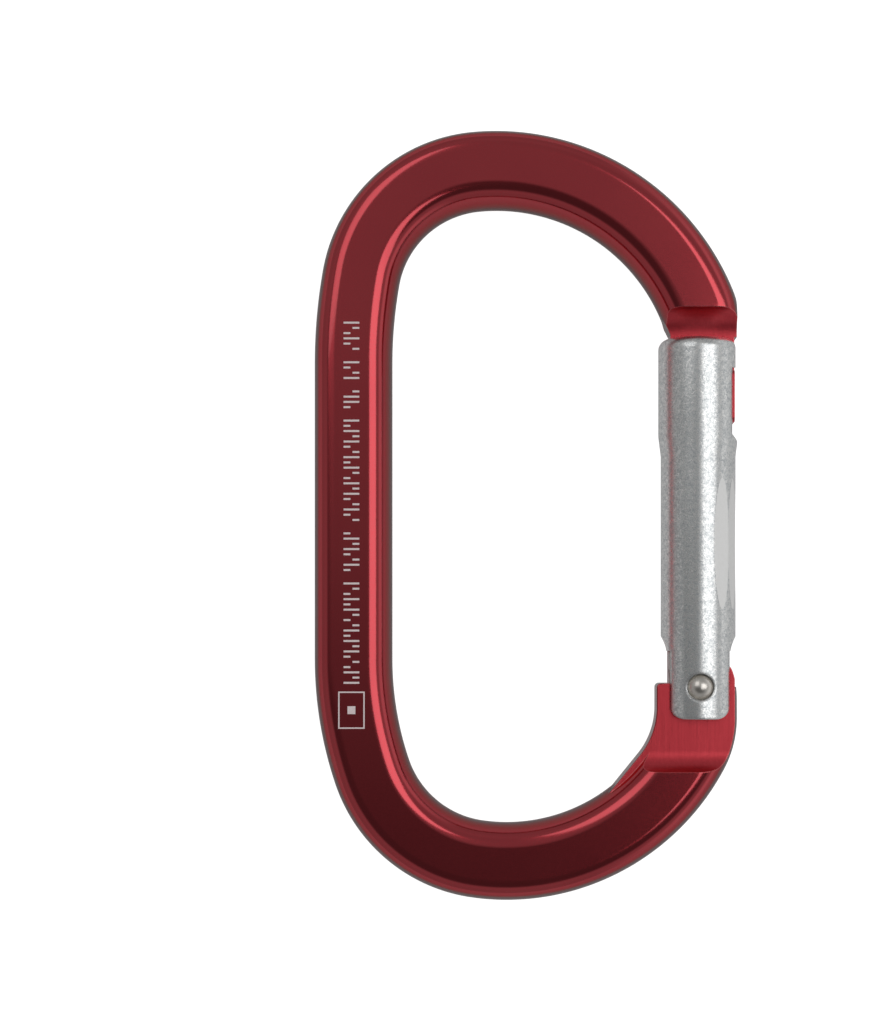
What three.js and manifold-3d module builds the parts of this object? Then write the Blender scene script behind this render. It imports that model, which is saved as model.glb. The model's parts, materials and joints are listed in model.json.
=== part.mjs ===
// Oval climbing carabiner with a straight key-lock gate.
//
// Millimetres. The carabiner lies flat: +Z is its thickness, +Y its long axis from the hinge
// end to the nose end, and +X goes from the spine to the gate. The bar and the nose are drawn
// from the middle of the spine, and everything on the gate is drawn from the hinge pin.

import * as THREE from 'three';
import { mergeVertices } from 'three/addons/utils/BufferGeometryUtils.js';
import Module from 'manifold-3d';

const wasm = await Module();
wasm.setup();

const DEG = Math.PI / 180;

// ---------------------------------------------------------------- driving dimensions

// Forged bar: rounded sides and edges, pressed flat on its front and back.
const BAR_WIDTH = 11;
const BAR_THICKNESS = 10.4;
const BAR_FLAT = 4.4;
const BAR_EDGE_RADIUS = 2.8;
const BAR_STEP = 2.4;

// Centreline from the middle of the spine to each end: a straight, then bends one after the other.
const NOSE_STRAIGHT = 21.7;
const NOSE_BENDS = [
  { radius: 70.2, turn: 10.05 },
  { radius: 18.25, turn: 74.5 },
  { radius: 30.8, turn: 73.05 },
  { radius: 8, turn: 22.4 },
];
const HINGE_STRAIGHT = 20.2;
const HINGE_BENDS = [
  { radius: 49.85, turn: 18.74 },
  { radius: 18.45, turn: 62.9 },
  { radius: 29.45, turn: 70.36 },
  { radius: 10, turn: 28 },
];

// Hinge pin, measured from the middle of the spine.
const PIN_X = 48.9;
const PIN_Y = -24.1;
const PIN_RADIUS = 1.5;
const RUNNING_GAP = 0.1;
const PRESS_GAP = 0.05;

// Nose: a thin neck with a thicker key at its end. X and Y are measured from the pin.
const NOSE_FACE = 53.2;
const NOSE_SCOOP = 4.2;
const NOSE_OUTER = 5.3;
const CHAMFER_X = -5.4;
const CHAMFER_Y = 52.4;
const NECK_TOP = 49.6;
const NECK_WAIST = 47.5;
const NECK_HALF = 2.1;
const NECK_INNER = -4.1;
const KEY_TOP = 44.6;
const KEY_BOTTOM = 37.3;
const KEY_HALF = 3;
const KEY_INNER = -3.3;
const KEY_ROUND = 0.7;

// Tang: the milled end that the gate turns on. X and Y are measured from the pin.
const TANG_HALF = 3;
const TANG_FOOT = -9;
const TANG_FILLET = 3;
const TANG_OUTER = 5.49;
const TANG_OUTER_FOOT = -3.3;
const TANG_OUTER_BEND = 18.3;
const TANG_OUTER_TURN = 17;
const TANG_TIP_BEND = 2.4;
const SHOULDER_X = -6.05;
const SHOULDER_Y = 0.5;
const SHOULDER_FOOT = -2.9;
const SHOULDER_BEND = 10.66;
const SHOULDER_TURN = 39;
const SHOULDER_CORNER = 0.6;
const CAM_FOOT = -3.9;

// Plunger, and the cam on top of the tang that lifts it as the gate swings in.
const OPEN_ANGLE = 50;
const CAM_RISE = 1.4;
const PLUNGER_RADIUS = 2.1;
const PLUNGER_REST = 5.5;
const PLUNGER_LENGTH = 5;
const SPIGOT_RADIUS = 1.05;
const SPIGOT_LENGTH = 2;

// Gate: a tube-shaped sleeve. Heights run along Y from the pin.
const GATE_TOP = 49.2;
const HEAD_RADIUS = 5.65;
const HEAD_FOOT = 35.4;
const BARREL_TOP = 32.6;
const BARREL_RADIUS = 5.3;
const RIM_ROUND = 1.5;
const GATE_BOTTOM = -4.5;
const EAR_HALF_WIDTH = 4.25;
const EAR_TOP = 4.2;
const EAR_BEND = 4.8;
const EAR_CORNER = 2;
const HINGE_SLOT_HALF = 3.25;
const HINGE_SLOT_TOP = 5.05;
const BORE_RADIUS = 2.2;
const BORE_END = 20.6;

// Keyhole slot in the head, open at the top and on the outer side.
const SLOT_NECK_HALF = 2.45;
const SLOT_NECK_BACK = -4.4;
const SLOT_KEY_HALF = 3.35;
const SLOT_KEY_BACK = -3.65;
const SLOT_KEY_TOP = 44.95;
const SLOT_KEY_BOTTOM = 36.9;
const SLOT_RAMP_DROP = 2.4;

// Thumb facets: shallow scoops milled round the outer side of the barrel.
const FACET_ANGLES = [35.5, 62.75, 90, 117.25, 144.5];
const FACET_MIDDLE = 20.1;
const FACET_LENGTH = 18.5;
const FACET_DEPTH = 0.16;

// Rivet heads, sunk into flat seats on the ears.
const RIVET_HEAD_RADIUS = 1.78;
const RIVET_HEAD_TOP = 5.65;
const RIVET_HEAD_EDGE = 4.6;
const RIVET_SEAT = 4.45;
const RIVET_SEAT_RADIUS = 1.9;

// Return spring in the bore of the gate, above the plunger.
const SPRING_WIRE_RADIUS = 0.38;
const SPRING_COIL_RADIUS = 1.65;
const SPRING_TURNS = 7;
const SPRING_END_GAP = 0.1;

// Reach of a cutter past the material that it cuts.
const OVERCUT = 12;

// ---------------------------------------------------------------- solids

const AXIS_X = new THREE.Vector3(1, 0, 0);
const AXIS_Y = new THREE.Vector3(0, 1, 0);
const AXIS_Z = new THREE.Vector3(0, 0, 1);

function toSolid(geometry) {
  const plain = geometry.clone();
  plain.deleteAttribute('normal');
  plain.deleteAttribute('uv');
  const merged = mergeVertices(plain);
  return new wasm.Manifold(new wasm.Mesh({
    numProp: 3,
    vertProperties: new Float32Array(merged.attributes.position.array),
    triVerts: new Uint32Array(merged.index.array),
  }));
}

function toMesh(name, solid, material) {
  const { vertProperties, triVerts } = solid.getMesh();
  const geometry = new THREE.BufferGeometry();
  geometry.setAttribute('position', new THREE.BufferAttribute(new Float32Array(vertProperties), 3));
  geometry.setIndex(new THREE.BufferAttribute(new Uint32Array(triVerts), 1));
  geometry.computeVertexNormals();
  return namedMesh(name, geometry, material);
}

function namedMesh(name, geometry, material) {
  const mesh = new THREE.Mesh(geometry, material);
  mesh.name = name;
  return mesh;
}

// A plate of a shape in the XY plane, from -half to +half in Z.
function plate(shape, half) {
  const geometry = new THREE.ExtrudeGeometry(shape, {
    depth: 2 * half,
    bevelEnabled: false,
    curveSegments: 8,
  });
  return geometry.translate(0, 0, -half);
}

// A bar along X, from -half to +half, of a shape whose first axis is Y and second axis is Z.
function crossBar(shape, half) {
  return plate(shape, half).applyMatrix4(new THREE.Matrix4().makeBasis(AXIS_Y, AXIS_Z, AXIS_X));
}

function box(low, high) {
  const size = new THREE.Vector3().subVectors(high, low);
  const middle = new THREE.Vector3().addVectors(low, high).multiplyScalar(0.5);
  return new THREE.BoxGeometry(size.x, size.y, size.z).translate(middle.x, middle.y, middle.z);
}

function pinBore(radius, half) {
  return new THREE.CylinderGeometry(radius, radius, 2 * half, 32).rotateX(90 * DEG);
}

// A solid drawn from the hinge pin, moved to where the pin is.
function atPin(geometry) {
  return toSolid(geometry.translate(PIN_X, PIN_Y, 0));
}

// Mill the same side outline off the front and off the back.
function millBothFaces(solid, sideShape) {
  const front = crossBar(sideShape, OVERCUT);
  const back = front.clone().rotateY(180 * DEG);
  return solid.subtract(atPin(front)).subtract(atPin(back));
}

// ---------------------------------------------------------------- bar

// The centreline of the bar, from the tang end round the spine to the nose end. It is made of
// straights and bends, and t is the share of its length that has been walked.
class BarLine extends THREE.Curve {
  constructor(hingeTail, noseTail) {
    super();
    this.hingeRuns = BarLine.runs(HINGE_STRAIGHT, HINGE_BENDS, hingeTail);
    this.noseRuns = BarLine.runs(NOSE_STRAIGHT, NOSE_BENDS, noseTail);
    this.hingeLength = this.hingeRuns.reduce((sum, run) => sum + run.length, 0);
    this.noseLength = this.noseRuns.reduce((sum, run) => sum + run.length, 0);
  }

  static runs(straight, bends, tail) {
    const arcs = bends.map(({ radius, turn }) => ({ length: radius * turn * DEG, radius }));
    return [{ length: straight }, ...arcs, { length: tail }];
  }

  get fullLength() {
    return this.hingeLength + this.noseLength;
  }

  // Walk from the middle of the spine towards +Y, always bending towards +X.
  static walk(runs, distance) {
    let heading = 90 * DEG;
    let left = distance;
    const place = new THREE.Vector3();
    for (const { length, radius } of runs) {
      const step = Math.min(left, length);
      if (radius) {
        const next = heading - step / radius;
        place.x += radius * (Math.sin(heading) - Math.sin(next));
        place.y += radius * (Math.cos(next) - Math.cos(heading));
        heading = next;
      } else {
        place.x += step * Math.cos(heading);
        place.y += step * Math.sin(heading);
      }
      left -= step;
    }
    return { place, heading };
  }

  at(t) {
    const along = t * this.fullLength - this.hingeLength;
    if (along >= 0) {
      return BarLine.walk(this.noseRuns, along);
    }
    const { place, heading } = BarLine.walk(this.hingeRuns, -along);
    place.y = -place.y;
    return { place, heading: 180 * DEG - heading };
  }

  getPoint(t) {
    return this.at(t).place;
  }

  getPointAt(t) {
    return this.getPoint(t);
  }

  getTangent(t) {
    const { heading } = this.at(t);
    return new THREE.Vector3(Math.cos(heading), Math.sin(heading), 0);
  }

  getTangentAt(t) {
    return this.getTangent(t);
  }
}

// The bar's section: x is its thickness and y its width. Two flats joined by two round sides.
function barSection() {
  const halfWidth = BAR_WIDTH / 2;
  const halfThickness = BAR_THICKNESS / 2;
  const halfFlat = BAR_FLAT / 2;
  const edgeThickness = halfThickness - BAR_EDGE_RADIUS;
  const sideReach = halfWidth - halfFlat;
  const sideRadius =
    (edgeThickness ** 2 + sideReach ** 2 - BAR_EDGE_RADIUS ** 2) / (2 * (sideReach - BAR_EDGE_RADIUS));
  const sideCentre = halfWidth - sideRadius;
  const join = Math.atan2(halfFlat - sideCentre, edgeThickness);
  const shape = new THREE.Shape();
  shape.moveTo(halfThickness, -halfFlat);
  shape.lineTo(halfThickness, halfFlat);
  shape.absarc(edgeThickness, halfFlat, BAR_EDGE_RADIUS, 0, join, false);
  shape.absarc(0, sideCentre, sideRadius, join, Math.PI - join, false);
  shape.absarc(-edgeThickness, halfFlat, BAR_EDGE_RADIUS, Math.PI - join, Math.PI, false);
  shape.lineTo(-halfThickness, -halfFlat);
  shape.absarc(-edgeThickness, -halfFlat, BAR_EDGE_RADIUS, Math.PI, Math.PI + join, false);
  shape.absarc(0, -sideCentre, sideRadius, Math.PI + join, 2 * Math.PI - join, false);
  shape.absarc(edgeThickness, -halfFlat, BAR_EDGE_RADIUS, 2 * Math.PI - join, 2 * Math.PI, false);
  return shape;
}

function sweptBar() {
  const hingeTail = 11;
  const noseTail = 15;
  const line = new BarLine(hingeTail, noseTail);
  return new THREE.ExtrudeGeometry(barSection(), {
    steps: Math.round(line.fullLength / BAR_STEP),
    curveSegments: 3,
    extrudePath: line,
  });
}

// ---------------------------------------------------------------- nose

// The side outline of everything that is milled off the front of the nose: y runs along the
// gate and z is height above the middle plane. A scoop leads down to the neck, and the key
// stands up again below it.
function noseSideCut() {
  const top = BAR_THICKNESS / 2;
  const drop = top - NECK_HALF;
  const scoopRun = Math.sqrt(NOSE_SCOOP ** 2 - (NOSE_SCOOP - drop) ** 2);
  const neckTop = NOSE_FACE - scoopRun;
  const shape = new THREE.Shape();
  shape.moveTo(NOSE_FACE, OVERCUT);
  shape.lineTo(NOSE_FACE, top);
  shape.absarc(neckTop, NECK_HALF + NOSE_SCOOP, NOSE_SCOOP,
    Math.atan2(drop - NOSE_SCOOP, scoopRun), -90 * DEG, true);
  shape.lineTo(KEY_TOP, NECK_HALF);
  shape.lineTo(KEY_TOP, KEY_HALF - KEY_ROUND);
  shape.absarc(KEY_TOP - KEY_ROUND, KEY_HALF - KEY_ROUND, KEY_ROUND, 0, 90 * DEG, false);
  shape.lineTo(KEY_BOTTOM + KEY_ROUND, KEY_HALF);
  shape.absarc(KEY_BOTTOM + KEY_ROUND, KEY_HALF - KEY_ROUND, KEY_ROUND, 90 * DEG, 180 * DEG, false);
  shape.lineTo(KEY_BOTTOM, 0);
  shape.lineTo(KEY_BOTTOM - OVERCUT, 0);
  shape.lineTo(KEY_BOTTOM - OVERCUT, OVERCUT);
  return shape;
}

// The plan outline that is milled off the inner side of the nose.
function noseInnerCut() {
  const shape = new THREE.Shape();
  shape.moveTo(CHAMFER_X, CHAMFER_Y);
  shape.lineTo(NECK_INNER, NECK_TOP);
  shape.lineTo(NECK_INNER, NECK_WAIST);
  shape.lineTo(KEY_INNER, KEY_TOP);
  shape.lineTo(KEY_INNER, KEY_BOTTOM - OVERCUT);
  shape.lineTo(-OVERCUT, KEY_BOTTOM - OVERCUT);
  shape.lineTo(-OVERCUT, CHAMFER_Y);
  return shape;
}

function cutNose(bar) {
  const outerFlat = box(
    new THREE.Vector3(NOSE_OUTER, 0, -OVERCUT),
    new THREE.Vector3(OVERCUT, NOSE_FACE + OVERCUT, OVERCUT),
  );
  return millBothFaces(bar, noseSideCut())
    .subtract(atPin(plate(noseInnerCut(), OVERCUT)))
    .subtract(atPin(outerFlat));
}

// ---------------------------------------------------------------- tang

// Where the centre of the plunger's round end stands, seen from the pin, when the gate has
// swung in by an angle.
function plungerCentre(angle) {
  const reach = PLUNGER_REST + CAM_RISE * angle;
  return new THREE.Vector2(-reach * Math.sin(angle), reach * Math.cos(angle));
}

// The cam: the path of the plunger's centre, moved in by the radius of its round end.
function camPoint(angle) {
  const reach = PLUNGER_REST + CAM_RISE * angle;
  const lean = Math.atan2(CAM_RISE, reach);
  const offset = PLUNGER_RADIUS + RUNNING_GAP;
  const centre = plungerCentre(angle);
  return new THREE.Vector2(
    centre.x + offset * Math.sin(angle - lean),
    centre.y - offset * Math.cos(angle - lean),
  );
}

function camPoints() {
  const points = [];
  for (let angle = -6; angle <= OPEN_ANGLE + 4; angle += 4) {
    points.push(camPoint(angle * DEG));
  }
  return points;
}

// Everything milled off round the tang's end: the outer curve, the cam and the shoulder's top.
function tangPlanCut() {
  const turn = TANG_OUTER_TURN * DEG;
  const bendX = TANG_OUTER - TANG_OUTER_BEND;
  const tipReach = TANG_OUTER_BEND - TANG_TIP_BEND;
  const tipX = bendX + tipReach * Math.cos(turn);
  const tipY = TANG_OUTER_FOOT + tipReach * Math.sin(turn);
  const shape = new THREE.Shape();
  shape.moveTo(OVERCUT, OVERCUT);
  shape.lineTo(OVERCUT, TANG_OUTER_FOOT);
  shape.absarc(bendX, TANG_OUTER_FOOT, TANG_OUTER_BEND, 0, turn, false);
  shape.absarc(tipX, tipY, TANG_TIP_BEND, turn, 90 * DEG, false);
  for (const { x, y } of camPoints()) {
    shape.lineTo(x, y);
  }
  shape.lineTo(CAM_FOOT, SHOULDER_Y);
  shape.lineTo(-OVERCUT, SHOULDER_Y);
  shape.lineTo(-OVERCUT, OVERCUT);
  return shape;
}

// The plate of the tang: it stands further in than the bar, as a shoulder.
function tangPlate() {
  const insideX = 2;
  const insideTop = HINGE_SLOT_TOP + 1;
  const foot = TANG_FOOT - TANG_FILLET;
  const cornerX = SHOULDER_X + SHOULDER_CORNER;
  const shape = new THREE.Shape();
  shape.moveTo(insideX, foot);
  shape.lineTo(insideX, insideTop);
  shape.lineTo(CAM_FOOT, insideTop);
  shape.lineTo(CAM_FOOT, SHOULDER_Y);
  shape.absarc(cornerX, SHOULDER_Y - SHOULDER_CORNER, SHOULDER_CORNER, 90 * DEG, 180 * DEG, false);
  shape.absarc(SHOULDER_X - SHOULDER_BEND, SHOULDER_FOOT, SHOULDER_BEND, 0, -SHOULDER_TURN * DEG, true);
  shape.lineTo(shape.currentPoint.x, foot);
  return plate(shape, TANG_HALF);
}

// The side outline that is milled off the front of the tang.
function tangSideCut() {
  const drop = BAR_THICKNESS / 2 - TANG_HALF;
  const filletRun = Math.sqrt(TANG_FILLET ** 2 - (TANG_FILLET - drop) ** 2);
  const shape = new THREE.Shape();
  shape.moveTo(OVERCUT, TANG_HALF);
  shape.lineTo(OVERCUT, OVERCUT);
  shape.lineTo(TANG_FOOT - filletRun, OVERCUT);
  shape.lineTo(TANG_FOOT - filletRun, BAR_THICKNESS / 2);
  shape.absarc(TANG_FOOT, TANG_HALF + TANG_FILLET, TANG_FILLET,
    Math.PI + Math.asin((TANG_FILLET - drop) / TANG_FILLET), 270 * DEG, false);
  return shape;
}

function cutTang(bar) {
  return millBothFaces(bar.add(atPin(tangPlate())), tangSideCut())
    .subtract(atPin(plate(tangPlanCut(), OVERCUT)))
    .subtract(atPin(pinBore(PIN_RADIUS + RUNNING_GAP, OVERCUT)));
}

function carabinerBody() {
  const solid = cutTang(cutNose(toSolid(sweptBar())));
  const redAnodised = new THREE.MeshStandardMaterial({ color: 0x7a2529, roughness: 0.3, metalness: 0.9 });
  return toMesh('carabiner_body', solid, redAnodised);
}

// ---------------------------------------------------------------- gate

function gateBlank() {
  const outline = new THREE.Path();
  outline.moveTo(0, GATE_BOTTOM);
  outline.lineTo(BARREL_RADIUS, GATE_BOTTOM);
  outline.lineTo(BARREL_RADIUS, BARREL_TOP);
  outline.lineTo(HEAD_RADIUS, HEAD_FOOT);
  outline.lineTo(HEAD_RADIUS, GATE_TOP - RIM_ROUND);
  outline.absarc(HEAD_RADIUS - RIM_ROUND, GATE_TOP - RIM_ROUND, RIM_ROUND, 0, 90 * DEG, false);
  outline.lineTo(0, GATE_TOP);
  return new THREE.LatheGeometry(outline.getPoints(3), 40);
}

// What is milled off one side of the ears: a curve in from the barrel, the straight side of
// the ear and its rounded corner.
function earSideCut(side) {
  const curveTop = EAR_TOP + Math.sqrt(EAR_BEND ** 2 - (EAR_BEND - (BARREL_RADIUS - EAR_HALF_WIDTH)) ** 2);
  const shape = new THREE.Shape();
  shape.moveTo(OVERCUT, curveTop);
  shape.lineTo(BARREL_RADIUS, curveTop);
  shape.absarc(EAR_HALF_WIDTH + EAR_BEND, EAR_TOP, EAR_BEND,
    Math.atan2(curveTop - EAR_TOP, BARREL_RADIUS - EAR_HALF_WIDTH - EAR_BEND), Math.PI, false);
  shape.lineTo(EAR_HALF_WIDTH, GATE_BOTTOM + EAR_CORNER);
  shape.absarc(EAR_HALF_WIDTH - EAR_CORNER, GATE_BOTTOM + EAR_CORNER, EAR_CORNER, 0, -90 * DEG, true);
  shape.lineTo(EAR_HALF_WIDTH - EAR_CORNER, GATE_BOTTOM - OVERCUT);
  shape.lineTo(OVERCUT, GATE_BOTTOM - OVERCUT);
  const cutter = plate(shape, OVERCUT);
  return side > 0 ? cutter : cutter.rotateY(180 * DEG);
}

// The keyhole slot: a narrow way for the neck and a wide room for the key, with a ramp below.
function keyholeCuts() {
  const neck = box(
    new THREE.Vector3(SLOT_NECK_BACK, SLOT_KEY_TOP - 1, -SLOT_NECK_HALF),
    new THREE.Vector3(OVERCUT, GATE_TOP + OVERCUT, SLOT_NECK_HALF),
  );
  const room = new THREE.Shape();
  room.moveTo(SLOT_KEY_BACK, SLOT_KEY_BOTTOM);
  room.lineTo(SLOT_KEY_BACK, SLOT_KEY_TOP);
  room.lineTo(OVERCUT, SLOT_KEY_TOP);
  room.lineTo(OVERCUT, SLOT_KEY_BOTTOM - SLOT_RAMP_DROP);
  room.lineTo(HEAD_RADIUS, SLOT_KEY_BOTTOM - SLOT_RAMP_DROP);
  room.lineTo(HEAD_RADIUS - 2.5, SLOT_KEY_BOTTOM);
  return [neck, plate(room, SLOT_KEY_HALF)];
}

// One thumb facet: the cutter's edge is an arc, so the facet is widest in the middle and runs
// out to nothing at both ends.
function facetCut(angle) {
  const half = FACET_LENGTH / 2;
  const cutterRadius = (half ** 2 + FACET_DEPTH ** 2) / (2 * FACET_DEPTH);
  const spread = Math.asin(half / cutterRadius);
  const shape = new THREE.Shape();
  shape.moveTo(half, FACET_DEPTH);
  shape.absarc(0, cutterRadius, cutterRadius, spread - 90 * DEG, -spread - 90 * DEG, true);
  const facet = crossBar(shape, BARREL_RADIUS);
  facet.translate(0, FACET_MIDDLE, BARREL_RADIUS - FACET_DEPTH);
  return facet.rotateY(angle * DEG);
}

function gateSleeve() {
  let solid = toSolid(gateBlank());
  const hingeSlot = box(
    new THREE.Vector3(-OVERCUT, GATE_BOTTOM - OVERCUT, -HINGE_SLOT_HALF),
    new THREE.Vector3(OVERCUT, HINGE_SLOT_TOP, HINGE_SLOT_HALF),
  );
  const bore = new THREE.CylinderGeometry(BORE_RADIUS, BORE_RADIUS, BORE_END, 32);
  const seat = pinBore(RIVET_SEAT_RADIUS, OVERCUT).translate(0, 0, RIVET_SEAT + OVERCUT);
  const cutters = [
    hingeSlot,
    bore.translate(0, BORE_END / 2, 0),
    pinBore(PIN_RADIUS + PRESS_GAP, OVERCUT),
    seat,
    seat.clone().rotateX(180 * DEG),
    earSideCut(1),
    earSideCut(-1),
    ...keyholeCuts(),
    ...FACET_ANGLES.map(facetCut),
  ];
  for (const cutter of cutters) {
    solid = solid.subtract(toSolid(cutter));
  }
  const tumbledAluminium = new THREE.MeshStandardMaterial({ color: 0xaeb0ae, roughness: 0.35, metalness: 1 });
  return toMesh('gate_sleeve', solid, tumbledAluminium);
}

// ---------------------------------------------------------------- pin, plunger and spring

// A through rivet with a low dome on each end.
function hingeRivet() {
  const domeRise = RIVET_HEAD_TOP - RIVET_HEAD_EDGE;
  const domeRadius = (RIVET_HEAD_RADIUS ** 2 + domeRise ** 2) / (2 * domeRise);
  const domeSpread = Math.asin(RIVET_HEAD_RADIUS / domeRadius);
  const underHead = RIVET_SEAT + PRESS_GAP;
  const outline = new THREE.Path();
  const domeCentre = RIVET_HEAD_TOP - domeRadius;
  outline.absarc(0, -domeCentre, domeRadius, -90 * DEG, domeSpread - 90 * DEG, false);
  outline.lineTo(RIVET_HEAD_RADIUS, -underHead);
  outline.lineTo(PIN_RADIUS, -underHead);
  outline.lineTo(PIN_RADIUS, underHead);
  outline.lineTo(RIVET_HEAD_RADIUS, underHead);
  outline.absarc(0, domeCentre, domeRadius, 90 * DEG - domeSpread, 90 * DEG, false);
  const geometry = new THREE.LatheGeometry(outline.getPoints(3), 32).rotateX(90 * DEG);
  const stainless = new THREE.MeshStandardMaterial({ color: 0xa8a39c, roughness: 0.2, metalness: 1 });
  return toMesh('hinge_rivet', toSolid(geometry), stainless);
}

// The pusher that the spring presses on the cam: a round end, a body that slides in the bore,
// and a spigot that stands inside the spring.
function springPlunger() {
  const top = PLUNGER_REST + PLUNGER_LENGTH;
  const outline = new THREE.Path();
  outline.absarc(0, PLUNGER_REST, PLUNGER_RADIUS, -90 * DEG, 0, false);
  outline.lineTo(PLUNGER_RADIUS, top);
  outline.lineTo(SPIGOT_RADIUS, top);
  outline.lineTo(SPIGOT_RADIUS, top + SPIGOT_LENGTH);
  outline.lineTo(0, top + SPIGOT_LENGTH);
  const steel = new THREE.MeshStandardMaterial({ color: 0x8f9295, roughness: 0.35, metalness: 1 });
  return toMesh('spring_plunger', toSolid(new THREE.LatheGeometry(outline.getPoints(3), 24)), steel);
}

// The centreline of the coil spring, standing along Y.
class Helix extends THREE.Curve {
  constructor(low, high, radius, turns) {
    super();
    Object.assign(this, { low, high, radius, turns });
  }

  getPoint(t) {
    const angle = 2 * Math.PI * this.turns * t;
    const height = THREE.MathUtils.lerp(this.low, this.high, t);
    return new THREE.Vector3(this.radius * Math.sin(angle), height, this.radius * Math.cos(angle));
  }
}

function returnSpring() {
  const inset = SPRING_WIRE_RADIUS + SPRING_END_GAP;
  const low = PLUNGER_REST + PLUNGER_LENGTH + inset;
  const high = BORE_END - inset;
  const wire = new THREE.Shape();
  wire.absarc(0, 0, SPRING_WIRE_RADIUS, 0, 2 * Math.PI, false);
  const geometry = new THREE.ExtrudeGeometry(wire, {
    steps: 12 * SPRING_TURNS,
    curveSegments: 3,
    extrudePath: new Helix(low, high, SPRING_COIL_RADIUS, SPRING_TURNS),
  });
  const springSteel = new THREE.MeshStandardMaterial({ color: 0x7d8083, roughness: 0.4, metalness: 1 });
  return toMesh('return_spring', toSolid(geometry), springSteel);
}

// ---------------------------------------------------------------- assembly

const gate = new THREE.Group();
gate.position.set(PIN_X, PIN_Y, 0);
gate.add(gateSleeve(), hingeRivet(), springPlunger(), returnSpring());

const carabiner = new THREE.Group();
carabiner.add(carabinerBody(), gate);

// The origin is under the middle of the carabiner, on the surface that it lies on.
const extent = new THREE.Box3().setFromObject(carabiner);
const middle = extent.getCenter(new THREE.Vector3());
carabiner.position.set(-middle.x, -middle.y, -extent.min.z);

const part = new THREE.Group();
part.add(carabiner);

export default part;
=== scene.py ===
"""Oval key-lock carabiner: the finished look of each piece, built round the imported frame.

Everything is in metres and in the frame's own axes: +X runs from the spine to the gate, +Y from
the hinge end to the nose end, and +Z up through the thickness. The sizes in the classes are in
millimetres and are scaled once, where a point is made.
"""

import json
import logging
import math
from dataclasses import dataclass, field
from enum import Enum

import bmesh
import bpy
from mathutils import Matrix, Vector


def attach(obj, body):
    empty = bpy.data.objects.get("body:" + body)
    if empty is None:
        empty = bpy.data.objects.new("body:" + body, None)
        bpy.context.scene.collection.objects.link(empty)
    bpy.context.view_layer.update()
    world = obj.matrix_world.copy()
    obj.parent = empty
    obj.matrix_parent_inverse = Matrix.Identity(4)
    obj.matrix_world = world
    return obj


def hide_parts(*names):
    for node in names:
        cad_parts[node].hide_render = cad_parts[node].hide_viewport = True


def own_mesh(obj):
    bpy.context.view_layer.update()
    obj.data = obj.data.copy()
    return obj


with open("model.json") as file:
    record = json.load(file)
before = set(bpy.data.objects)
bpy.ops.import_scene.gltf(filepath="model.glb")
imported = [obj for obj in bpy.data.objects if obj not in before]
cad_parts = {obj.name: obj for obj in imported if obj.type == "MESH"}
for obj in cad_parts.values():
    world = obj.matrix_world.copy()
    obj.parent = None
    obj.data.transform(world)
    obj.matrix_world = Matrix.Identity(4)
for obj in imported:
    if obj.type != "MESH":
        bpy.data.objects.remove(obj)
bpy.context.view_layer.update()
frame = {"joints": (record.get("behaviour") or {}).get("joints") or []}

LOG = logging.getLogger("carabiner")

MM = 0.001
AXIS_X = Vector((1, 0, 0))
AXIS_Y = Vector((0, 1, 0))
AXIS_Z = Vector((0, 0, 1))

# The hinge pin's middle, from the gate's joint, and the spine's middle, from the pin.
PIN = Vector(next(j["pos_m"] for j in frame["joints"] if j["name"] == "gate_hinge"))
SPINE = PIN + Vector((-48.9, 24.1, 0)) * MM


# ---------------------------------------------------------------- drawing outlines and solids


class Plane(Enum):
    """The plane that an outline is drawn in, as its first and second axis."""

    PLAN = (AXIS_X, AXIS_Y)
    SIDE = (AXIS_Y, AXIS_Z)
    SECTION = (AXIS_X, AXIS_Z)

    @property
    def normal(self) -> Vector:
        """The axis that a positive turn goes round, from the first axis to the second."""
        across, up = self.value
        return across.cross(up)


class Pen:
    """Draws an outline in a new mesh, by extruding one vertex along straights and arcs.

    Args:
        plane: the plane that the outline lies in.
        origin: the point that the outline's numbers are measured from, in metres.
        start: the outline's first point, in millimetres in the plane.
    """

    def __init__(self, plane: Plane, origin: Vector, start: tuple[float, float]) -> None:
        """Put the pen down at the outline's first point."""
        self.plane = plane
        self.origin = origin
        self.mesh = bmesh.new()
        self.tip = self.mesh.verts.new(self.point(*start))

    def point(self, across: float, up: float) -> Vector:
        """Turn two numbers in the plane, in millimetres, into a point in metres."""
        first, second = self.plane.value
        return self.origin + (first * across + second * up) * MM

    def to(self, across: float, up: float) -> "Pen":
        """Draw a straight to a point and return the pen."""
        made = bmesh.ops.extrude_vert_indiv(self.mesh, verts=[self.tip])
        self.tip = made["verts"][0]
        self.tip.co = self.point(across, up)
        return self

    def turn(self, across: float, up: float, degrees: float, steps: int = 12) -> "Pen":
        """Draw an arc round a centre.

        Args:
            across: the centre's first number, in millimetres.
            up: the centre's second number, in millimetres.
            degrees: how far to turn, positive from the first axis to the second.
            steps: the number of straights in the arc.

        Returns:
            The pen.
        """
        made = bmesh.ops.spin(
            self.mesh, geom=[self.tip], cent=self.point(across, up), axis=self.plane.normal,
            angle=math.radians(degrees), steps=steps,
        )
        self.tip = next(g for g in made["geom_last"] if isinstance(g, bmesh.types.BMVert))
        return self

    def close(self) -> "Pen":
        """Join the last point to the first and return the pen."""
        first = self.mesh.verts[:][0]
        if (self.tip.co - first.co).length > 1e-7:
            self.mesh.edges.new((self.tip, first))
        bmesh.ops.remove_doubles(self.mesh, verts=self.mesh.verts[:], dist=1e-7)
        return self


def tidy(mesh: bmesh.types.BMesh) -> bmesh.types.BMesh:
    """Merge doubles and turn every face outwards.

    Args:
        mesh: a closed shape.

    Returns:
        The same mesh.
    """
    bmesh.ops.remove_doubles(mesh, verts=mesh.verts[:], dist=2e-7)
    bmesh.ops.recalc_face_normals(mesh, faces=mesh.faces[:])
    return mesh


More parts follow.
